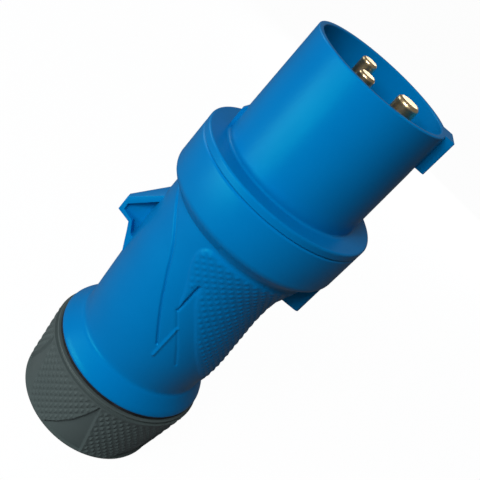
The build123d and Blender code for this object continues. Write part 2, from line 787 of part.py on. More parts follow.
# Gland nut: raised grip fields with smooth sunk triangles between them
nut_field_top_z = nut_shelf_z - nut_field_drop
with BuildPart() as nut_skin:
    with BuildSketch(Plane.XZ):
        with BuildLine():
            Polyline(
                (nut_top_radius - nut_field_depth, nut_shelf_z),
                (nut_top_radius + nut_field_depth, nut_shelf_z),
                (nut_end_radius + nut_field_depth, -nut_field_depth),
                (nut_end_radius - nut_field_depth, -nut_field_depth),
                close=True,
            )
        make_face()
    revolve(axis=Axis.Z)
with BuildPart() as nut_fields:
    for index in range(nut_field_count):
        field_angle = nut_field_turn + index * 360 / nut_field_count
        with BuildSketch(radial_plane(nut_cone_top_radius, -field_angle, 0)):
            with BuildLine():
                apex = (nut_field_top_z, 0)
                left_foot = (-nut_field_depth, nut_field_left)
                right_foot = (-nut_field_depth, -nut_field_right)
                middle = (nut_field_top_z / 2, nut_field_left / 2 - nut_field_bow)
                ThreePointArc(apex, middle, left_foot)
                Polyline(left_foot, right_foot, apex)
            make_face()
        extrude(amount=nut_top_radius)
field_cut = nut_skin.part & nut_fields.part
with BuildPart() as gland_nut:
    with BuildSketch(Plane.XZ) as nut_profile:
        with BuildLine():
            Polyline(
                (nut_lip_bore_radius, nut_length),
                (nut_lip_radius, nut_length),
                (nut_lip_radius, nut_length - nut_lip_height),
                (nut_groove_radius, nut_length - nut_lip_height),
                (nut_groove_radius, nut_shelf_z),
                (nut_top_radius, nut_shelf_z),
                (nut_end_radius, 0),
                (cable_way_radius, 0),
                (cable_way_radius, nut_end_wall),
                (nut_cone_foot_radius, nut_end_wall),
                (nut_cone_top_radius, nut_thread_foot_z),
                (nut_bore_radius, nut_thread_foot_z),
                (nut_bore_radius, nut_shelf_z),
                (nut_lip_bore_radius, nut_shelf_z),
                close=True,
            )
        make_face()
        fillet(corner(nut_profile, nut_end_radius, 0), nut_end_rounding)
    revolve(axis=Axis.Z)
    add(field_cut, mode=Mode.SUBTRACT)
gland_nut.part.label = "gland_nut"
export_step(gland_nut.part, "parts/gland_nut.step")
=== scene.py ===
"""Industrial pin and sleeve plug: moulded handle, keyed shroud, contact pins and cable gland."""

import logging
import math
from dataclasses import dataclass
from enum import Enum
from typing import Sequence, Union

import bmesh
import bpy
import numpy as np
from mathutils import Matrix, Vector


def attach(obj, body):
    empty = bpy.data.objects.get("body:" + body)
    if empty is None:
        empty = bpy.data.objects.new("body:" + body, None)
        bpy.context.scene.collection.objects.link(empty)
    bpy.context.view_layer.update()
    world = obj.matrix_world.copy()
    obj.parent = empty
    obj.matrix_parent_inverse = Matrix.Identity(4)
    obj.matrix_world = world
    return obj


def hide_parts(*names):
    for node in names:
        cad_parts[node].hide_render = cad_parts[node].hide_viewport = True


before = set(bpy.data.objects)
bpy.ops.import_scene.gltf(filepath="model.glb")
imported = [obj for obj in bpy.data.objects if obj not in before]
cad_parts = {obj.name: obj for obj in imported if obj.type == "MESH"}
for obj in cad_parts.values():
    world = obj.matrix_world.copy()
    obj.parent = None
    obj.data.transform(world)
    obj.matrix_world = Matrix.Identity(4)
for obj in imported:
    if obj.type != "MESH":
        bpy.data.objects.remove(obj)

MM = 0.001
SLACK = 0.01
LOG = logging.getLogger("plug")

Colour = tuple[float, float, float]
Point = tuple[float, float]
Corner = Union[tuple[float, float], tuple[float, float, float]]
Stops = tuple[tuple[float, float], ...]


class Slot(Enum):
    """Material slots of the plug."""

    HOUSING = "housing"
    CARRIER = "carrier"
    CONTACT = "contact"
    SCREW = "screw"
    SEAL = "seal"
    GLAND = "gland"


class Body(Enum):
    """Bodies of the plug that pieces ride on."""

    HOUSING = "housing"
    NUT = "nut"


# Shader nodes


class Signal:
    """An output socket that arithmetic acts on by adding Math nodes."""

    def __init__(self, bench: "Bench", socket: bpy.types.NodeSocket) -> None:
        """Keep the socket and the bench that it stands on."""
        self.bench = bench
        self.socket = socket

    def _math(self, operation: str, first: "Value", second: "Value") -> "Signal":
        """Add one Math node.

        Args:
            operation: The Math node's operation.
            first: First value or link.
            second: Second value or link.

        Returns:
            The node's result.
        """
        node = self.bench.node("ShaderNodeMath", {"operation": operation}, {0: first, 1: second})
        return self.bench.pick(node, 0)

    def __add__(self, other: "Value") -> "Signal":
        """Sum."""
        return self._math("ADD", self, other)

    __radd__ = __add__

    def __sub__(self, other: "Value") -> "Signal":
        """Difference."""
        return self._math("SUBTRACT", self, other)

    def __rsub__(self, other: "Value") -> "Signal":
        """Difference from a number."""
        return self._math("SUBTRACT", other, self)

    def __mul__(self, other: "Value") -> "Signal":
        """Product."""
        return self._math("MULTIPLY", self, other)

    __rmul__ = __mul__


Value = Union[Signal, float]


class Bench:
    """A node tree, and the one way to put a node into it."""

    def __init__(self, tree: bpy.types.NodeTree) -> None:
        """Clear the tree and keep it."""
        self.tree = tree
        self.tree.nodes.clear()

    def node(self, kind: str, settings: dict | None = None, sockets: dict | None = None) -> bpy.types.Node:
        """Make a node.

        Args:
            kind: The node's type.
            settings: Its own settings, set first; "stops" are a ramp's positions and colours.
            sockets: Values or links of its input sockets, by name or number.

        Returns:
            The new node.
        """
        made = self.tree.nodes.new(kind)
        for name, value in (settings or {}).items():
            if name == "stops":
                self._stops(made.color_ramp, value)
            else:
                setattr(made, name, value)
        for key, value in (sockets or {}).items():
            if isinstance(value, Signal):
                self.tree.links.new(value.socket, made.inputs[key])
            else:
                made.inputs[key].default_value = value
        return made

    @staticmethod
    def _stops(ramp: bpy.types.ColorRamp, stops: Stops) -> None:
        """Set a ramp's grey stops.

        Args:
            ramp: The ramp.
            stops: Position and grey of each stop.
        """
        while len(ramp.elements) < len(stops):
            ramp.elements.new(1.0)
        for element, (position, grey) in zip(ramp.elements, stops):
            element.position = position
            element.color = (grey, grey, grey, 1.0)

    def pick(self, node: bpy.types.Node, output: str | int) -> Signal:
        """Wrap one output of a node."""
        return Signal(self, node.outputs[output])

    def object_place(self, stretch: tuple[float, float, float] = (1.0, 1.0, 1.0)) -> Signal:
        """Object coordinates, scaled along each axis.

        Args:
            stretch: Scale of the pattern along X, Y and Z.

        Returns:
            The coordinates.
        """
        place = self.pick(self.node("ShaderNodeTexCoord"), "Object")
        return self.pick(self.node("ShaderNodeMapping", {}, {"Vector": place, "Scale": stretch}), 0)

    def noise(self, place: Signal, size: float, detail: float = 2.0, roughness: float = 0.5) -> Signal:
        """Noise from 0 to 1.

        Args:
            place: Coordinates that it follows.
            size: Size of its features, in millimetres.
            detail: Octaves.
            roughness: Strength of the finer octaves.

        Returns:
            The noise.
        """
        sockets = {"Vector": place, "Scale": 1.0 / (size * MM), "Detail": detail, "Roughness": roughness}
        return self.pick(self.node("ShaderNodeTexNoise", {}, sockets), 0)

    def ramp(self, value: Signal, stops: Stops) -> Signal:
        """Reshape a value with grey stops."""
        return self.pick(self.node("ShaderNodeValToRGB", {"stops": stops}, {0: value}), 0)

    def blend(self, share: Value, first: "Colour | Signal", second: "Colour | Signal") -> Signal:
        """Mix two colours.

        Args:
            share: How much of the second.
            first: First colour.
            second: Second colour.

        Returns:
            The mixed colour.
        """
        sides = [c if isinstance(c, Signal) else (*c, 1.0) for c in (first, second)]
        node = self.node("ShaderNodeMix", {"data_type": "RGBA"}, {0: share, 6: sides[0], 7: sides[1]})
        return self.pick(node, 2)

    def bump(self, height: Signal, depth: float) -> Signal:
        """Normal from a height.

        Args:
            height: Height from 0 to 1.
            depth: Depth of the relief, in millimetres.

        Returns:
            The normal.
        """
        sockets = {"Height": height, "Strength": 1.0, "Distance": depth * MM}
        return self.pick(self.node("ShaderNodeBump", {}, sockets), 0)

    def finish(self, shader: Signal, output: str = "ShaderNodeOutputMaterial") -> None:
        """Link a shader to the tree's output."""
        self.node(output, {}, {"Surface": shader})


def material_bench(name: str) -> tuple[bpy.types.Material, Bench]:
    """Start a material.

    Args:
        name: The material's name.

    Returns:
        The material and its bench.
    """
    material = bpy.data.materials.new(name)
    material.use_nodes = True
    return material, Bench(material.node_tree)


# Finishes


@dataclass(frozen=True)
class MouldedFinish:
    """Injection-moulded plastic with a spark-eroded grain.

    Sizes are in millimetres and colours are linear. A stretch below 1 draws a pattern out along the axis.
    """

    name: str
    colour: Colour
    deep: Colour
    roughness: float
    specular: float
    grain: float
    grain_depth: float
    scuff: float
    gloss: Colour = (1.0, 1.0, 1.0)
    drift_size: float = 24.0
    drift_stops: Stops = ((0.3, 0.0), (0.75, 1.0))
    flow_size: float = 5.0
    flow_stretch: float = 0.22
    mark_size: float = 0.7
    mark_stretch: float = 0.12
    mark_stops: Stops = ((0.62, 0.0), (0.78, 1.0))
    patch_size: float = 13.0
    patch_stops: Stops = ((0.5, 0.0), (0.72, 1.0))
    sway: float = 0.10
    scuff_dulling: float = 0.18
    scuff_paling: float = 0.35
    grain_share: float = 0.8

    def build(self) -> bpy.types.Material:
        """Make the material: drifting colour, fine grain, and faint handling marks.

        Returns:
            The material.
        """
        material, bench = material_bench(self.name)
        place = bench.object_place()
        drift = bench.noise(place, self.drift_size, detail=3.0)
        grain = bench.noise(place, self.grain, roughness=0.6)
        along = bench.object_place((1.0, 1.0, self.flow_stretch))
        flow = bench.noise(along, self.flow_size, detail=4.0, roughness=0.6)
        drawn = bench.object_place((1.0, 1.0, self.mark_stretch))
        marks = bench.ramp(bench.noise(drawn, self.mark_size, detail=5.0, roughness=0.7), self.mark_stops)
        where = bench.ramp(bench.noise(place, self.patch_size), self.patch_stops)
        scuffs = marks * where * self.scuff
        base = bench.blend(bench.ramp(drift, self.drift_stops), self.colour, self.deep)
        paler = tuple(min(1.0, c * 1.25 + 0.03) for c in self.colour)
        base = bench.blend(scuffs * self.scuff_paling, base, paler)
        roughness = (grain - 0.5) * self.sway + (flow - 0.5) * self.sway
        roughness = roughness + scuffs * self.scuff_dulling + self.roughness
        relief = grain * self.grain_share + flow * (1.0 - self.grain_share)
        shader = bench.node("ShaderNodeBsdfPrincipled", {}, {
            "Base Color": base,
            "Roughness": roughness,
            "Normal": bench.bump(relief, self.grain_depth),
            "Specular IOR Level": self.specular,
            "Specular Tint": (*self.gloss, 1.0),
        })
        bench.finish(bench.pick(shader, 0))
        return material


@dataclass(frozen=True)
class TurnedFinish:
    """Turned metal with fine tool rings along the axis, dulled towards the root.

    Sizes and the heights of root and tip are in millimetres, and colours are linear.
    """

    name: str
    colour: Colour
    dull: Colour
    roughness: float
    ring: float
    ring_depth: float
    root: float
    tip: float
    ring_stretch: float = 0.02
    cloud_size: float = 3.0
    cloud_stops: Stops = ((0.42, 0.0), (0.8, 1.0))
    cloud_share: float = 0.6
    root_share: float = 0.35
    pit_size: float = 0.25
    ring_sway: float = 0.16
    tarnish_dulling: float = 0.14
    pit_sway: float = 0.06
    ring_relief: float = 0.8
    pit_relief: float = 0.2

    def build(self) -> bpy.types.Material:
        """Make the material: tool rings, drifting tarnish and small pits.

        Returns:
            The material.
        """
        material, bench = material_bench(self.name)
        around = bench.object_place((self.ring_stretch, self.ring_stretch, 1.0))
        rings = bench.noise(around, self.ring, detail=3.0, roughness=0.7)
        cloud = bench.noise(bench.object_place(), self.cloud_size, detail=4.0, roughness=0.6)
        pits = bench.noise(bench.object_place(), self.pit_size)
        place = bench.node("ShaderNodeSeparateXYZ", {}, {0: bench.object_place()})
        rise = bench.node("ShaderNodeMapRange", {}, {
            0: bench.pick(place, 2), 1: self.root * MM, 2: self.tip * MM, 3: 1.0, 4: 0.0,
        })
        tarnish = bench.ramp(cloud, self.cloud_stops) * self.cloud_share
        tarnish = tarnish + bench.pick(rise, 0) * self.root_share
        roughness = (rings - 0.5) * self.ring_sway + tarnish * self.tarnish_dulling
        roughness = roughness + (pits - 0.5) * self.pit_sway + self.roughness
        relief = rings * self.ring_relief + pits * self.pit_relief
        shader = bench.node("ShaderNodeBsdfPrincipled", {}, {
            "Base Color": bench.blend(tarnish, self.colour, self.dull),
            "Metallic": 1.0,
            "Roughness": roughness,
            "Normal": bench.bump(relief, self.ring_depth),
        })
        bench.finish(bench.pick(shader, 0))
        return material


@dataclass(frozen=True)
class RubberFinish:
    """Dull rubber with bloom and a fine moulded surface. Sizes are in millimetres and colours linear."""

    name: str
    colour: Colour
    bloom: Colour
    roughness: float
    specular: float = 0.3
    patch_size: float = 6.0
    patch_stops: Stops = ((0.45, 0.0), (0.8, 1.0))
    pebble_size: float = 0.3
    pebble_depth: float = 0.02
    pebble_sway: float = 0.1

    def build(self) -> bpy.types.Material:
        """Make the material: pale bloom in patches over a pebbled surface.

        Returns:
            The material.
        """
        material, bench = material_bench(self.name)
        place = bench.object_place()
        patches = bench.ramp(bench.noise(place, self.patch_size, detail=4.0, roughness=0.6), self.patch_stops)
        pebbles = bench.noise(place, self.pebble_size)
        shader = bench.node("ShaderNodeBsdfPrincipled", {}, {
            "Base Color": bench.blend(patches, self.colour, self.bloom),
            "Roughness": (pebbles - 0.5) * self.pebble_sway + self.roughness,
            "Normal": bench.bump(pebbles, self.pebble_depth),
            "Specular IOR Level": self.specular,
        })
        bench.finish(bench.pick(shader, 0))
        return material


Finish = Union[MouldedFinish, TurnedFinish, RubberFinish]

FINISHES: dict[Slot, Finish] = {
    Slot.HOUSING: MouldedFinish(
        "blue_polyamide", colour=(0.0, 0.170, 0.470), deep=(0.0, 0.157, 0.440), roughness=0.36, specular=0.42,
        gloss=(0.0, 1.0, 0.8), grain=0.32, grain_depth=0.010, scuff=0.5,
    ),
    Slot.GLAND: MouldedFinish(
        "slate_polyamide", colour=(0.076, 0.102, 0.101), deep=(0.064, 0.088, 0.088), roughness=0.42,
        specular=0.46, grain=0.32, grain_depth=0.014, scuff=0.7,
    ),
    Slot.CARRIER: MouldedFinish(
        "black_polyamide", colour=(0.020, 0.023, 0.026), deep=(0.015, 0.017, 0.019), roughness=0.45,
        specular=0.4, grain=0.4, grain_depth=0.012, scuff=0.3,
    ),
    Slot.CONTACT: TurnedFinish(
        "bright_brass", colour=(0.95, 0.74, 0.43), dull=(0.52, 0.34, 0.16), roughness=0.30,
        ring=0.14, ring_depth=0.005, root=100.0, tip=150.0,
    ),
    Slot.SCREW: TurnedFinish(
        "zinc_plate", colour=(0.62, 0.61, 0.58), dull=(0.40, 0.39, 0.36), roughness=0.30,
        ring=0.3, ring_depth=0.008, root=60.0, tip=120.0,
    ),
    Slot.SEAL: RubberFinish(
        "black_rubber", colour=(0.012, 0.012, 0.013), bloom=(0.035, 0.035, 0.036), roughness=0.7,
    ),
}

NODE_SLOTS: dict[Slot, tuple[str, ...]] = {
    Slot.HOUSING: ("front_shroud", "handle_shell"),
    Slot.CARRIER: ("contact_carrier", "pin_retainer"),
    Slot.CONTACT: ("earth_pin", "line_pin", "neutral_pin"),
    Slot.SCREW: (
        "earth_pressure_plate", "line_pressure_plate", "neutral_pressure_plate",
        "earth_terminal_screw", "line_terminal_screw", "neutral_terminal_screw",
        "near_retainer_screw", "far_retainer_screw", "housing_screw",
    ),
    Slot.SEAL: ("housing_gasket", "nut_seal_ring", "gland_seal"),
    Slot.GLAND: ("clamp_claws", "thrust_ring", "gland_nut"),
}


# Shape helpers


def smooth_step(value: np.ndarray) -> np.ndarray:
    """Rise softly from 0 to 1 as the value goes from 0 to 1."""
    t = np.clip(value, 0.0, 1.0)
    return t * t * (3.0 - 2.0 * t)


def through(stations: Sequence[float], values: Sequence[float], at: np.ndarray) -> np.ndarray:
    """Read a smooth curve that passes through values at rising stations.

    Args:
        stations: Where the values are given.
        values: The values there.
        at: Where the curve is read.

    Returns:
        The curve's values.
    """
    x, y = np.array(stations, float), np.array(values, float)
    slope = np.gradient(y, x)
    i = np.clip(np.searchsorted(x, at) - 1, 0, len(x) - 2)
    span = x[i + 1] - x[i]
    t = np.clip((at - x[i]) / span, 0.0, 1.0)
    rest = 1.0 - t
    return (
        (1 + 2 * t) * rest**2 * y[i] + t * rest**2 * span * slope[i]
        + t**2 * (3 - 2 * t) * y[i + 1] - t**2 * rest * span * slope[i + 1]
    )


def line_distance(points: np.ndarray, line: Sequence[Point]) -> np.ndarray:
    """Distance from each point to a line of straight runs.

    Args:
        points: Points, one a row.
        line: The line's corners.

    Returns:
        The distances.
    """
    best = np.full(len(points), np.inf)
    for a, b in zip(np.array(line[:-1], float), np.array(line[1:], float)):
        run = b - a
        t = np.clip(((points - a) @ run) / (run @ run), 0.0, 1.0)
        best = np.minimum(best, np.linalg.norm(points - a - t[:, None] * run, axis=1))
    return best


def depth_inside(points: np.ndarray, outline: Sequence[Point]) -> np.ndarray:
    """Distance inside a closed outline, negative outside it.

    Args:
        points: Points, one a row.
        outline: The outline's corners.

    Returns:
        The signed distances.
    """
    inside = np.zeros(len(points), bool)
    x, y = points.T
    for (ax, ay), (bx, by) in zip(outline, [*outline[1:], outline[0]]):
        if ay != by:
            crossing = ax + (y - ay) * (bx - ax) / (by - ay)
            inside ^= ((ay > y) != (by > y)) & (x < crossing)
    distance = line_distance(points, [*outline, outline[0]])
    return np.where(inside, distance, -distance)


def pyramids(turns: np.ndarray, rows: np.ndarray) -> np.ndarray:
    """Height from 0 to 1 of diamond-shaped pyramids set in staggered rows.

    Args:
        turns: Place round the axis, one pyramid to each whole number.
        rows: Place along the axis, one pyramid to each whole number.

    Returns:
        The heights.
    """
    u = np.abs(turns - np.round(turns))
    v = np.abs(rows - np.round(rows))
    return np.abs(1.0 - 2.0 * u - 2.0 * v)


class Turning:
    """A closed outline of radius and height that is turned round the plug's axis."""

    ROUND_FACES = 4
    MERGE = 1e-7

    def __init__(self) -> None:
        """Start with no corners."""
        self.points: list[Point] = []
        self.rounds: list[float] = []

    def corner(self, radius: float, height: float, rounding: float = 0.0) -> "Turning":
        """Add a corner.

        Args:
            radius: Distance from the axis, in millimetres.
            height: Height, in millimetres.
            rounding: How far back from the corner its rounding starts.

        Returns:
            The turning itself.
        """
        self.points.append((radius, height))
        self.rounds.append(rounding)
        return self

    def run(self, corners: Sequence[Corner]) -> "Turning":
        """Add a row of corners.

        Args:
            corners: Radius and height of each, and its rounding where it has one.

        Returns:
            The turning itself.
        """
        for corner in corners:
            self.corner(*corner)
        return self

    def turn(self, steps: int) -> bmesh.types.BMesh:
        """Round the corners and spin the outline.

        Args:
            steps: Faces round the axis.

        Returns:
            The closed shell.
        """
        shell = bmesh.new()
        corners = [shell.verts.new((r * MM, 0.0, z * MM)) for r, z in self.points]
        for first, second in zip(corners, [*corners[1:], corners[0]]):
            shell.edges.new((first, second))
        for corner, rounding in zip(corners, self.rounds):
            if rounding > 0.0:
                bmesh.ops.bevel(
                    shell, geom=[corner], offset=rounding * MM, offset_type="OFFSET",
                    segments=self.ROUND_FACES, profile=0.5, affect="VERTICES", material=-1,
                )
        bmesh.ops.spin(
            shell, geom=[*shell.verts, *shell.edges], cent=(0, 0, 0), axis=(0, 0, 1),
            dvec=(0, 0, 0), angle=math.tau, steps=steps, use_merge=True,
        )
        bmesh.ops.remove_doubles(shell, verts=shell.verts, dist=self.MERGE)
        bmesh.ops.recalc_face_normals(shell, faces=shell.faces)
        return shell


def soften(
    shell: bmesh.types.BMesh, edges: Sequence[bmesh.types.BMEdge], size: float, segments: int = 3
) -> None:
    """Round edges.

    Args:
        shell: The mesh.
        edges: Its edges to round.
        size: Width of the rounding, in millimetres.
        segments: Faces across it.
    """
    bmesh.ops.bevel(
        shell, geom=list(edges), offset=size * MM, offset_type="OFFSET", segments=segments,
        profile=0.5, affect="EDGES", material=-1, clamp_overlap=True,
    )


def span(edge: bmesh.types.BMEdge, axis: int) -> float:
    """How far an edge runs along an axis, in millimetres."""
    return abs(edge.verts[0].co[axis] - edge.verts[1].co[axis]) / MM


def sharp_edges(shell: bmesh.types.BMesh, degrees: float = 25.0) -> list[bmesh.types.BMEdge]:
    """Edges where two faces meet at more than an angle."""
    limit = math.radians(degrees)
    return [e for e in shell.edges if len(e.link_faces) == 2 and e.calc_face_angle(0.0) > limit]


def make_piece(
    name: str, shell: bmesh.types.BMesh, slot: Slot, body: Body,
    materials: dict[Slot, bpy.types.Material], crease: float = 38.0,
) -> bpy.types.Object:
    """Turn a mesh into a finished piece that rides on a body.

    Args:
        name: The piece's name.
        shell: Its mesh, which is freed.
        slot: Its material slot.
        body: The body that it rides on.
        materials: Finished materials.
        crease: Angle above which an edge shows as sharp, in degrees.

    Returns:
        The piece.
    """
    mesh = bpy.data.meshes.new(name)
    shell.to_mesh(mesh)
    shell.free()
    mesh.shade_smooth()
    mesh.set_sharp_from_angle(angle=math.radians(crease))
    mesh.materials.append(materials[slot])
    piece = bpy.data.objects.new(name, mesh)
    bpy.context.scene.collection.objects.link(piece)
    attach(piece, body.value)
    LOG.info("%s: %d triangles", name, sum(len(p.vertices) - 2 for p in mesh.polygons))
    return piece


def move_points(shell: bmesh.types.BMesh, places: np.ndarray) -> None:
    """Put each vertex at its new place, given in millimetres."""
    for vertex, place in zip(shell.verts, places * MM):
        vertex.co = place


def read_points(shell: bmesh.types.BMesh) -> np.ndarray:
    """Places of the vertices, in millimetres."""
    return np.array([v.co for v in shell.verts], float) / MM


# Handle


@dataclass(frozen=True)
class Groove:
    """Soft groove along a line in the side view, in millimetres."""

    depth: float
    width: float
    line: tuple[Point, ...]


@dataclass
class Handle:
    """Blue handle: collar, waisted grip with textured panels, wing, tab, ring and tail.

    Sizes are in millimetres. Outlines of the relief are in the side view, along X and Z. A corner of the
    section is a radius, a height and, where it is rounded, how far back its rounding starts.
    """

    steps: int = 400
    rows: int = 114
    inside_points: int = 13
    wall: float = 2.6
    collar: tuple[Corner, ...] = (
        (25.9, 108.2), (28.3, 108.2, 0.1), (28.9, 107.6, 0.25), (28.9, 101.0), (28.9, 94.8, 1.3),
    )
    ring: tuple[Corner, ...] = (
        (22.75, 35.1, 0.7), (23.5, 34.2, 0.4), (26.15, 30.0, 0.45), (26.8, 28.5, 0.35), (26.5, 27.9, 0.15),
    )
    tail: tuple[Corner, ...] = (
        (22.0, 27.9), (22.0, 13.2), (18.4, 13.2), (18.4, 25.0), (9.0, 25.0), (9.0, 29.0), (18.4, 29.0),
    )
    throat: tuple[Corner, ...] = (
        (20.4, 90.6), (20.4, 101.75), (22.1, 101.75), (22.1, 99.4), (24.6, 99.4), (24.6, 106.35),
        (25.9, 106.35),
    )
    stations: tuple[float, ...] = (36.8, 47.0, 59.0, 71.0, 79.0, 90.6)
    radii: tuple[float, ...] = (22.75, 23.2, 23.05, 22.9, 23.0, 24.7)
    shifts: tuple[float, ...] = (0.0, 0.2, 1.05, 1.9, 1.75, 0.0)
    core_radius: float = 20.0
    outside_radius: float = 21.5
    skin: float = 0.5
    foot_fade: float = 1.0
    head_fade: float = 0.6
    pyramids_round: int = 50
    pyramid_rows: int = 19
    pyramid_height: float = 0.33
    texture_inset: float = 0.75
    texture_fade: float = 0.7
    panel_height: float = 0.42
    panel_slope: float = 0.9
    panel_lead: float = 0.2
    upper_panel: tuple[Point, ...] = (
        (40.0, 89.4), (-5.4, 89.4), (-7.2, 88.6), (-8.3, 86.8), (-8.6, 84.6), (-8.1, 82.2), (-6.9, 79.2),
        (-5.4, 76.5), (-4.0, 73.3), (-3.0, 70.6), (-1.5, 66.3), (-1.5, 77.3), (40.0, 77.3),
    )
    lower_panel: tuple[Point, ...] = (
        (40.0, 89.4), (-1.5, 89.4), (-1.5, 77.3), (-0.7, 74.8), (1.6, 70.5), (3.7, 67.6), (5.8, 64.6),
        (8.0, 61.3), (10.3, 57.8), (12.4, 54.8), (15.8, 50.4), (18.9, 45.2), (21.5, 39.5), (40.0, 39.0),
    )
    crease: Groove = Groove(0.55, 0.34, (
        (-23.5, 90.4), (-21.6, 88.8), (-19.3, 86.4), (-16.9, 83.8), (-14.6, 80.8), (-12.5, 77.1),
        (-11.0, 73.8), (-9.1, 70.3), (-7.3, 66.6), (-5.1, 62.7), (-2.1, 57.6), (0.7, 53.1),
    ))
    fold: Groove = Groove(0.2, 0.4, (
        (-1.5, 66.5), (0.0, 64.4), (2.0, 61.5), (4.1, 58.5), (6.2, 55.4), (8.4, 51.6), (9.6, 49.6),
    ))
    edge: Groove = Groove(0.45, 0.4, ((-1.5, 66.6), (-1.5, 77.0)))
    ridge: tuple[Point, ...] = ((2.1, 49.2), (2.1, 61.4))
    ridge_height: float = 0.34
    ridge_half: float = 0.75
    refine_reach: float = 0.75
    refine_cuts: int = 2
    wing_outline: tuple[Point, ...] = (
        (-22.0, 85.3), (-32.8, 72.9), (-32.8, 67.6), (-28.0, 67.1), (-26.6, 64.3), (-25.4, 61.6),
        (-24.4, 59.4), (-23.4, 57.3), (-20.3, 57.3), (-20.3, 85.3),
    )
    wing_pocket: tuple[Point, ...] = (
        (-23.4, 81.1), (-31.4, 71.2), (-31.3, 69.0), (-27.2, 68.2), (-26.4, 66.8), (-25.7, 65.6),
        (-25.0, 64.6), (-22.8, 64.2), (-22.0, 72.0), (-22.4, 80.0),
    )
    wing_tip: float = -32.8
    wing_root: float = -22.0
    wing_tip_half: float = 1.2
    wing_root_half: float = 4.6
    wing_web_half: float = 0.6
    wing_crease: float = 28.0
    wing_rounding: float = 0.3
    tab_radius: float = 28.5
    tab_depth: float = 7.8
    tab_width: float = 12.0
    tab_floor: float = 81.0
    tab_top: float = 96.0
    tab_cuts: int = 11
    tab_rounding: float = 1.5
    tab_rim: float = 0.7
    tab_rim_crease: float = 60.0
    screw_circle: float = 24.4
    screw_recess: float = 2.56
    screw_depth: float = 5.3
    screw_room_half: float = 3.6
    screw_room_radius: float = 21.4
    screw_room_foot: float = 0.2
    screw_room_top: float = 88.0
    drill_sides: int = 48

    def outline(self) -> Turning:
        """Section of the handle from the collar's rim down the outside and back up inside.

        Returns:
            The section.
        """
        heights = np.linspace(self.stations[-1], self.stations[0], self.rows + 1)
        outside = through(self.stations, self.radii, heights)
        inside_heights = np.linspace(self.stations[0], self.stations[-1], self.inside_points)
        inside = through(self.stations, self.radii, inside_heights) - self.wall
        section = Turning().run(self.collar)
        section.run(list(zip(outside, heights)))
        section.run(self.ring).run(self.tail)
        section.run(list(zip(inside, inside_heights)))
        return section.run(self.throat)

    def relief(self, side: np.ndarray, angles: np.ndarray) -> np.ndarray:
        """Height of the panels, pyramids, grooves and ridge over the plain grip.

        Args:
            side: Places of the grip's points in the side view.
            angles: Their angles round the axis.

        Returns:
            The heights.
        """
        panel = np.maximum(depth_inside(side, self.upper_panel), depth_inside(side, self.lower_panel))
        height = self.panel_height * smooth_step(panel / self.panel_slope + self.panel_lead)
        turns = angles * self.pyramids_round / math.tau
        rows = (side[:, 1] - self.stations[0]) * self.pyramid_rows / (self.stations[-1] - self.stations[0])
        textured = smooth_step((panel - self.texture_inset) / self.texture_fade)
        height += self.pyramid_height * pyramids(turns, rows) * textured
        for groove in (self.crease, self.fold, self.edge):
            height -= groove.depth * np.exp(-((line_distance(side, groove.line) / groove.width) ** 2))
        ridge = 1.0 - line_distance(side, self.ridge) / self.ridge_half
        return height + self.ridge_height * np.clip(ridge, 0.0, 1.0)

    def sculpt(self, shell: bmesh.types.BMesh) -> None:
        """Shift the grip towards the wing, raise its relief, and leave room for the housing screw.

        Args:
            shell: The handle's mesh.
        """
        places = read_points(shell)
        heights = places[:, 2]
        radius = np.hypot(places[:, 0], places[:, 1])
        angles = np.arctan2(places[:, 1], places[:, 0])
        low, high = self.stations[0], self.stations[-1]
        on_grip = (heights > low - SLACK) & (heights < high + SLACK) & (radius > self.core_radius)
        plain = through(self.stations, self.radii, heights)
        shift = np.where(on_grip, through(self.stations, self.shifts, heights), 0.0)
        outer = on_grip & (radius > plain - self.skin)
        side = np.stack([places[:, 0] - shift, heights], axis=1)
        raised = np.zeros(len(places))
        raised[outer] = self.relief(side[outer], angles[outer])
        fade = smooth_step((heights - low) / self.foot_fade) * smooth_step((high - heights) / self.head_fade)
        radius = radius + raised * fade
        room = outer & (np.abs(places[:, 1]) < self.screw_room_half) & (places[:, 0] > 0)
        room &= (heights > self.tab_floor + self.screw_room_foot) & (heights < self.screw_room_top)
        radius = np.where(room, np.minimum(radius, self.screw_room_radius + shift), radius)
        places[:, 0] = radius * np.cos(angles) - shift
        places[:, 1] = radius * np.sin(angles)
        move_points(shell, places)

    def refine(self, shell: bmesh.types.BMesh) -> None:
        """Divide the grip's faces along the fine lines of its relief.

        Args:
            shell: The handle's mesh, before it is sculpted.
        """
        for line in (self.crease.line, self.fold.line, self.ridge, self.edge.line):
            centres = np.array([f.calc_center_median() for f in shell.faces], float) / MM
            shift = through(self.stations, self.shifts, centres[:, 2])
            side = np.stack([centres[:, 0] - shift, centres[:, 2]], axis=1)
            outer = np.hypot(centres[:, 0], centres[:, 1]) > self.outside_radius
            outer &= (centres[:, 2] > self.stations[0]) & (centres[:, 2] < self.stations[-1])
            near = outer & (line_distance(side, line) < self.refine_reach)
            shell.faces.ensure_lookup_table()
            edges = {e for index in np.nonzero(near)[0] for e in shell.faces[index].edges}
            bmesh.ops.subdivide_edges(shell, edges=list(edges), cuts=self.refine_cuts, use_grid_fill=True)

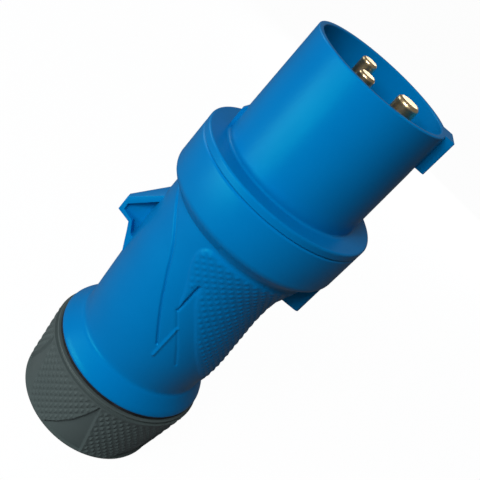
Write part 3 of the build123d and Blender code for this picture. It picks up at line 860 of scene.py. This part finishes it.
    def wing(self) -> bmesh.types.BMesh:
        """Ramp that narrows to a hook, hollowed from both sides down to a web.

        Returns:
            The wing.
        """
        shell = bmesh.new()
        rims, webs = [], []
        for flank in (-1.0, 1.0):
            rim = self.loop(shell, self.wing_outline, flank)
            mouth = self.loop(shell, self.wing_pocket, flank)
            floor = self.loop(shell, self.wing_pocket, flank, self.wing_web_half)
            bmesh.ops.bridge_loops(shell, edges=rim + mouth)
            bmesh.ops.bridge_loops(shell, edges=mouth + floor)
            rims.append(rim)
            webs.append(floor)
        bmesh.ops.bridge_loops(shell, edges=rims[0] + rims[1])
        for floor in webs:
            bmesh.ops.contextual_create(shell, geom=floor)
        bmesh.ops.recalc_face_normals(shell, faces=shell.faces)
        soften(shell, sharp_edges(shell, self.wing_crease), self.wing_rounding)
        return shell

    def loop(
        self, shell: bmesh.types.BMesh, outline: Sequence[Point], flank: float, half: float | None = None
    ) -> list[bmesh.types.BMEdge]:
        """Draw a closed outline on one flank of the wing.

        Args:
            shell: The wing's mesh.
            outline: Corners in the side view.
            flank: Side of the wing, -1 or 1.
            half: Distance from the wing's middle, or None for the flank's own slope.

        Returns:
            The outline's edges.
        """
        rise = (self.wing_root_half - self.wing_tip_half) / (self.wing_root - self.wing_tip)
        corners = []
        for x, z in outline:
            slope = self.wing_tip_half + rise * min(x - self.wing_tip, self.wing_root - self.wing_tip)
            corners.append(shell.verts.new((x * MM, flank * (slope if half is None else half) * MM, z * MM)))
        return [shell.edges.new(pair) for pair in zip(corners, [*corners[1:], corners[0]])]

    def tab(self) -> bmesh.types.BMesh:
        """Block behind the collar that the housing screw enters from the rear.

        Returns:
            The tab.
        """
        shell = bmesh.new()
        inner = self.tab_radius - self.tab_depth
        size = (self.tab_depth * MM, self.tab_width * MM, (self.tab_top - self.tab_floor) * MM)
        middle = ((self.tab_radius + inner) / 2 * MM, 0.0, (self.tab_top + self.tab_floor) / 2 * MM)
        bmesh.ops.create_cube(shell, size=1.0)
        bmesh.ops.scale(shell, verts=shell.verts, vec=size)
        bmesh.ops.translate(shell, verts=shell.verts, vec=middle)
        across = [e for e in shell.edges if span(e, 1) > SLACK]
        bmesh.ops.subdivide_edges(shell, edges=across, cuts=self.tab_cuts, use_grid_fill=True)
        for vertex in shell.verts:
            if vertex.co.x > middle[0]:
                vertex.co.x = math.sqrt((self.tab_radius * MM) ** 2 - vertex.co.y**2)
        corners = [
            e for e in shell.edges
            if span(e, 2) > SLACK and e.verts[0].co.x > middle[0]
            and abs(e.verts[0].co.y) > (self.tab_width / 2 - SLACK) * MM
        ]
        soften(shell, corners, self.tab_rounding, 4)
        return self.bored(shell)

    def bored(self, shell: bmesh.types.BMesh) -> bmesh.types.BMesh:
        """Soften the tab's rim and cut the housing screw's recess into it.

        Args:
            shell: The tab's mesh, which is freed.

        Returns:
            The tab with its recess.
        """
        low = (self.tab_floor + SLACK) * MM
        rim = [e for e in sharp_edges(shell, self.tab_rim_crease) if max(v.co.z for v in e.verts) < low]
        soften(shell, rim, self.tab_rim)
        bit = bmesh.new()
        bmesh.ops.create_cone(
            bit, cap_ends=True, segments=self.drill_sides, radius1=self.screw_recess * MM,
            radius2=self.screw_recess * MM, depth=2 * self.screw_depth * MM,
        )
        bmesh.ops.translate(bit, verts=bit.verts, vec=(self.screw_circle * MM, 0, self.tab_floor * MM))
        pair = []
        for name, part in (("tab_block", shell), ("tab_bit", bit)):
            mesh = bpy.data.meshes.new(name)
            part.to_mesh(mesh)
            part.free()
            pair.append(bpy.data.objects.new(name, mesh))
            bpy.context.scene.collection.objects.link(pair[-1])
        block, drill = pair
        cut = block.modifiers.new("recess", "BOOLEAN")
        cut.operation, cut.solver, cut.object = "DIFFERENCE", "EXACT", drill
        bpy.context.view_layer.update()
        cut_mesh = bpy.data.meshes.new_from_object(block.evaluated_get(bpy.context.evaluated_depsgraph_get()))
        result = bmesh.new()
        result.from_mesh(cut_mesh)
        for thing in pair:
            bpy.data.objects.remove(thing)
        return result

    def build(self, materials: dict[Slot, bpy.types.Material]) -> bpy.types.Object:
        """Make the handle as one moulding.

        Args:
            materials: Finished materials.

        Returns:
            The handle.
        """
        shell = self.outline().turn(self.steps)
        self.refine(shell)
        self.sculpt(shell)
        for part in (self.wing(), self.tab()):
            mesh = bpy.data.meshes.new("part")
            part.to_mesh(mesh)
            part.free()
            shell.from_mesh(mesh)
            bpy.data.meshes.remove(mesh)
        piece = make_piece("handle_moulding", shell, Slot.HOUSING, Body.HOUSING, materials)
        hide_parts("handle_shell")
        return piece


# Gland nut


@dataclass
class GlandNut:
    """Dark gland nut with pyramid fields and smooth sunk triangles, in millimetres and degrees."""

    steps: int = 544
    rows: int = 54
    rows_each: int = 8
    pyramids_round: int = 68
    pyramid_rows: int = 7
    pyramid_height: float = 0.5
    pyramid_middle: float = 0.6
    field_foot: float = 0.4
    top: float = 25.0
    top_radius: float = 27.7
    end_radius: float = 25.4
    end_rounding: float = 1.0
    lip: tuple[Corner, ...] = (
        (24.6, 26.8), (25.9, 26.8), (25.9, 26.4), (27.25, 26.4, 0.18), (27.25, 25.95, 0.15),
        (26.6, 25.8, 0.1), (26.6, 25.0, 0.1),
    )
    bore: tuple[Corner, ...] = (
        (9.0, 0.0, 0.3), (9.0, 2.8), (16.8, 2.8), (21.0, 12.5), (22.3, 12.5), (22.3, 25.0), (24.6, 25.0),
    )
    skin: float = 0.4
    side_foot: float = 1.0
    border: float = 0.5
    border_fade: float = 0.6
    top_border: float = 0.8
    top_fade: float = 0.7
    foot_border: float = 1.2
    foot_fade: float = 1.0
    triangles: int = 6
    first_triangle: float = 88.0
    triangle_reach: float = 0.6
    triangle_depth: float = 0.9
    triangle_slope: float = 0.75
    triangle: tuple[Point, ...] = (
        (0.0, 23.9), (1.5, 18.2), (3.7, 12.1), (6.8, 6.5), (9.3, 3.0), (12.6, -2.5), (-6.0, -2.5), (-4.8, 3.9),
        (-3.0, 11.5), (-1.4, 18.3),
    )

    def outline(self) -> Turning:
        """Section of the nut from its lip down the outside and back up inside.

        Returns:
            The section.
        """
        row = (self.top - self.field_foot) / (self.pyramid_rows * self.rows_each)
        heights = self.top - row * np.arange(self.rows + 1)
        radii = self.end_radius + (self.top_radius - self.end_radius) * heights / self.top
        section = Turning().run(self.lip).run(list(zip(radii, heights)))
        return section.corner(self.end_radius, 0.0, self.end_rounding).run(self.bore)

    def sculpt(self, shell: bmesh.types.BMesh) -> None:
        """Sink the triangles and raise the pyramids between them.

        Args:
            shell: The nut's mesh.
        """
        places = read_points(shell)
        heights = places[:, 2]
        radius = np.hypot(places[:, 0], places[:, 1])
        angles = np.arctan2(places[:, 1], places[:, 0])
        plain = self.end_radius + (self.top_radius - self.end_radius) * heights / self.top
        outer = (heights < self.top + SLACK) & (heights > self.side_foot)
        outer &= radius > plain - self.skin
        depth = np.full(len(places), -np.inf)
        for index in range(self.triangles):
            centre = -math.radians(self.first_triangle + index * 360.0 / self.triangles)
            turn = (angles - centre + math.pi) % math.tau - math.pi
            flat = np.stack([-turn * radius, heights], axis=1)
            near = np.abs(turn) < self.triangle_reach
            depth[near] = np.maximum(depth[near], depth_inside(flat[near], self.triangle))
        sunk = self.triangle_depth * smooth_step(depth / self.triangle_slope + 0.5)
        turns = angles * self.pyramids_round / math.tau
        rows = (heights - self.field_foot) * self.pyramid_rows / (self.top - self.field_foot)
        field = smooth_step((-depth - self.border) / self.border_fade)
        field *= smooth_step((self.top - self.top_border - heights) / self.top_fade)
        field *= smooth_step((heights - self.foot_border) / self.foot_fade)
        raised = self.pyramid_height * (pyramids(turns, rows) - self.pyramid_middle) * field
        radius = np.where(outer, radius - sunk + raised, radius)
        places[:, 0], places[:, 1] = radius * np.cos(angles), radius * np.sin(angles)
        move_points(shell, places)

    def build(self, materials: dict[Slot, bpy.types.Material]) -> bpy.types.Object:
        """Make the nut.

        Args:
            materials: Finished materials.

        Returns:
            The nut.
        """
        shell = self.outline().turn(self.steps)
        self.sculpt(shell)
        piece = make_piece("gland_nut_moulding", shell, Slot.GLAND, Body.NUT, materials)
        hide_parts("gland_nut")
        return piece


# Seal and painted gap shade


@dataclass
class NutSealAndGapShade:
    """Black rubber seal between the blue ring and the nut, in millimetres. Its lip is drawn out to the ring's
    edge, so its black also paints the shade of the gap there as a thin dark line.
    """

    steps: int = 180
    # The outer lip reaches r 26.5, out to the blue ring's edge: black rubber put there to paint the gap's
    # shade as a dark line.
    section: tuple[Corner, ...] = (
        (22.06, 27.87), (26.5, 27.87, 0.1), (26.5, 26.86, 0.1), (24.0, 26.86), (24.0, 25.55, 0.6),
        (22.06, 25.55, 0.6),
    )

    def build(self, materials: dict[Slot, bpy.types.Material]) -> bpy.types.Object:
        """Make the seal.

        Args:
            materials: Finished materials.

        Returns:
            The seal.
        """
        shell = Turning().run(self.section).turn(self.steps)
        piece = make_piece("nut_seal", shell, Slot.SEAL, Body.HOUSING, materials)
        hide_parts("nut_seal_ring")
        return piece


# Studio


@dataclass(frozen=True)
class Lamp:
    """Soft lamp that faces the plug's middle. Sizes are in metres, angles in degrees and power in watts."""

    name: str
    azimuth: float
    elevation: float
    size: tuple[float, float]
    watts: float
    distance: float = 0.6
    mirrored: bool = True
    receivers: bpy.types.Collection | None = None
    middle: tuple[float, float, float] = (0.0, 0.0, 0.075)

    def hang(self) -> None:
        """Put the lamp in its place. The azimuth turns from +X towards +Y."""
        data = bpy.data.lights.new(self.name, "AREA")
        data.shape, data.size, data.size_y, data.energy = "RECTANGLE", *self.size, self.watts
        turn, rise = math.radians(self.azimuth), math.radians(self.elevation)
        towards = Vector((math.cos(rise) * math.cos(turn), math.cos(rise) * math.sin(turn), math.sin(rise)))
        lamp = bpy.data.objects.new(self.name, data)
        lamp.location = Vector(self.middle) + self.distance * towards
        lamp.rotation_euler = towards.to_track_quat("Z", "Y").to_euler()
        lamp.visible_camera = False
        lamp.visible_glossy = self.mirrored
        if self.receivers:
            lamp.light_linking.receiver_collection = self.receivers
        bpy.context.scene.collection.objects.link(lamp)


@dataclass
class Studio:
    """Camera of the photograph, soft lamps, and a pale floor. Places are in metres."""

    place: tuple[float, float, float] = (-0.02727, -0.1904, 0.18328)
    right: tuple[float, float, float] = (0.7697, 0.1987, 0.6066)
    up: tuple[float, float, float] = (-0.6246, 0.4306, 0.6515)
    back: tuple[float, float, float] = (-0.1318, -0.8804, 0.4556)
    lens: float = 54.18
    sensor: float = 36.0
    room_fill: float = 0.05
    room_mirrored: float = 0.1
    floor_size: float = 30.0
    floor_paper: Colour = (0.12, 0.13, 0.14)
    floor_glow: float = 1.285
    floor_glow_share: float = 0.76
    floor_mirrored: float = 0.05

    def camera(self) -> None:
        """Set the camera where the photograph was taken from."""
        data = bpy.data.cameras.new("photo_camera")
        data.lens, data.sensor_width = self.lens, self.sensor
        data.clip_start, data.clip_end = 0.01, 100.0
        camera = bpy.data.objects.new("photo_camera", data)
        columns = (*zip(self.right, self.up, self.back, self.place), (0.0, 0.0, 0.0, 1.0))
        camera.matrix_world = Matrix(columns)
        bpy.context.scene.collection.objects.link(camera)
        bpy.context.scene.camera = camera

    def lamps(self) -> None:
        """Hang the lamps. Two of them light the contact pins alone, so that the brass shines."""
        contacts = bpy.data.collections.new("contacts")
        for name in NODE_SLOTS[Slot.CONTACT]:
            contacts.objects.link(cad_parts[name])
        for lamp in (
            Lamp("side_lamp", -146.0, -6.0, (0.26, 0.07), 0.46, distance=0.35),
            Lamp("front_lamp", -130.0, 33.0, (0.25, 0.20), 1.50, mirrored=False),
            Lamp("upper_lamp", -110.0, 42.0, (0.20, 0.20), 1.60, mirrored=False),
            Lamp("back_lamp", 74.0, 3.0, (0.30, 0.14), 1.00, mirrored=False),
            Lamp("rear_lamp", 150.0, 20.0, (0.30, 0.20), 0.40),
            Lamp("contact_back_lamp", 80.0, 32.0, (0.22, 0.22), 0.50, receivers=contacts),
            Lamp("contact_front_lamp", -118.0, 40.0, (0.26, 0.22), 3.00, receivers=contacts),
        ):
            lamp.hang()

    @staticmethod
    def seen(bench: Bench, mirrored: float) -> Signal:
        """Share of the white background that a ray sees.

        Args:
            bench: The bench to work on.
            mirrored: Share that a mirrored or transmitted ray sees.

        Returns:
            The share.
        """
        path = bench.node("ShaderNodeLightPath")
        second = bench.pick(path, "Is Glossy Ray") + bench.pick(path, "Is Transmission Ray")
        return bench.pick(path, "Is Camera Ray") + second * mirrored

    def surroundings(self) -> None:
        """Light the scene evenly, with a white background for the camera."""
        world = bpy.data.worlds.new("pale_room")
        world.use_nodes = True
        bpy.context.scene.world = world
        bench = Bench(world.node_tree)
        strength = self.seen(bench, self.room_mirrored) * (1.0 - self.room_fill) + self.room_fill
        shader = bench.node("ShaderNodeBackground", {}, {"Color": (1.0, 1.0, 1.0, 1.0), "Strength": strength})
        bench.finish(bench.pick(shader, 0), "ShaderNodeOutputWorld")

    def floor(self) -> None:
        """Lay a plain pale floor that stays white in the camera, apart from a soft shadow."""
        material, bench = material_bench("pale_floor")
        paper = bench.node("ShaderNodeBsdfDiffuse", {}, {"Color": (*self.floor_paper, 1.0)})
        glow = {"Color": (1.0, 1.0, 1.0, 1.0), "Strength": self.floor_glow}
        white = bench.node("ShaderNodeEmission", {}, glow)
        share = self.seen(bench, self.floor_mirrored) * self.floor_glow_share
        sockets = {0: share, 1: bench.pick(paper, 0), 2: bench.pick(white, 0)}
        mixed = bench.node("ShaderNodeMixShader", {}, sockets)
        bench.finish(bench.pick(mixed, 0))
        sheet = bmesh.new()
        bmesh.ops.create_grid(sheet, x_segments=1, y_segments=1, size=self.floor_size)
        mesh = bpy.data.meshes.new("pale_floor")
        sheet.to_mesh(mesh)
        sheet.free()
        mesh.materials.append(material)
        floor = bpy.data.objects.new("pale_floor", mesh)
        bpy.context.scene.collection.objects.link(floor)

    def build(self) -> None:
        """Set up camera, lamps, room and floor, and the plain view transform."""
        self.camera()
        self.lamps()
        self.surroundings()
        self.floor()
        bpy.context.scene.view_settings.view_transform = "Standard"


def dress_nodes(materials: dict[Slot, bpy.types.Material]) -> None:
    """Give each carried-over solid its finish.

    Args:
        materials: Finished materials.
    """
    for slot, names in NODE_SLOTS.items():
        for name in names:
            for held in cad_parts[name].material_slots:
                held.material = materials[slot]
    LOG.info("dressed %d solids", sum(len(names) for names in NODE_SLOTS.values()))


def main() -> None:
    """Build the plug's looks on its solids."""
    logging.basicConfig(level=logging.INFO, format="%(name)s: %(message)s")
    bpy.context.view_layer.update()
    Studio().build()
    materials = {slot: finish.build() for slot, finish in FINISHES.items()}
    dress_nodes(materials)
    Handle().build(materials)
    GlandNut().build(materials)
    NutSealAndGapShade().build(materials)


if __name__ == "__main__":
    main()
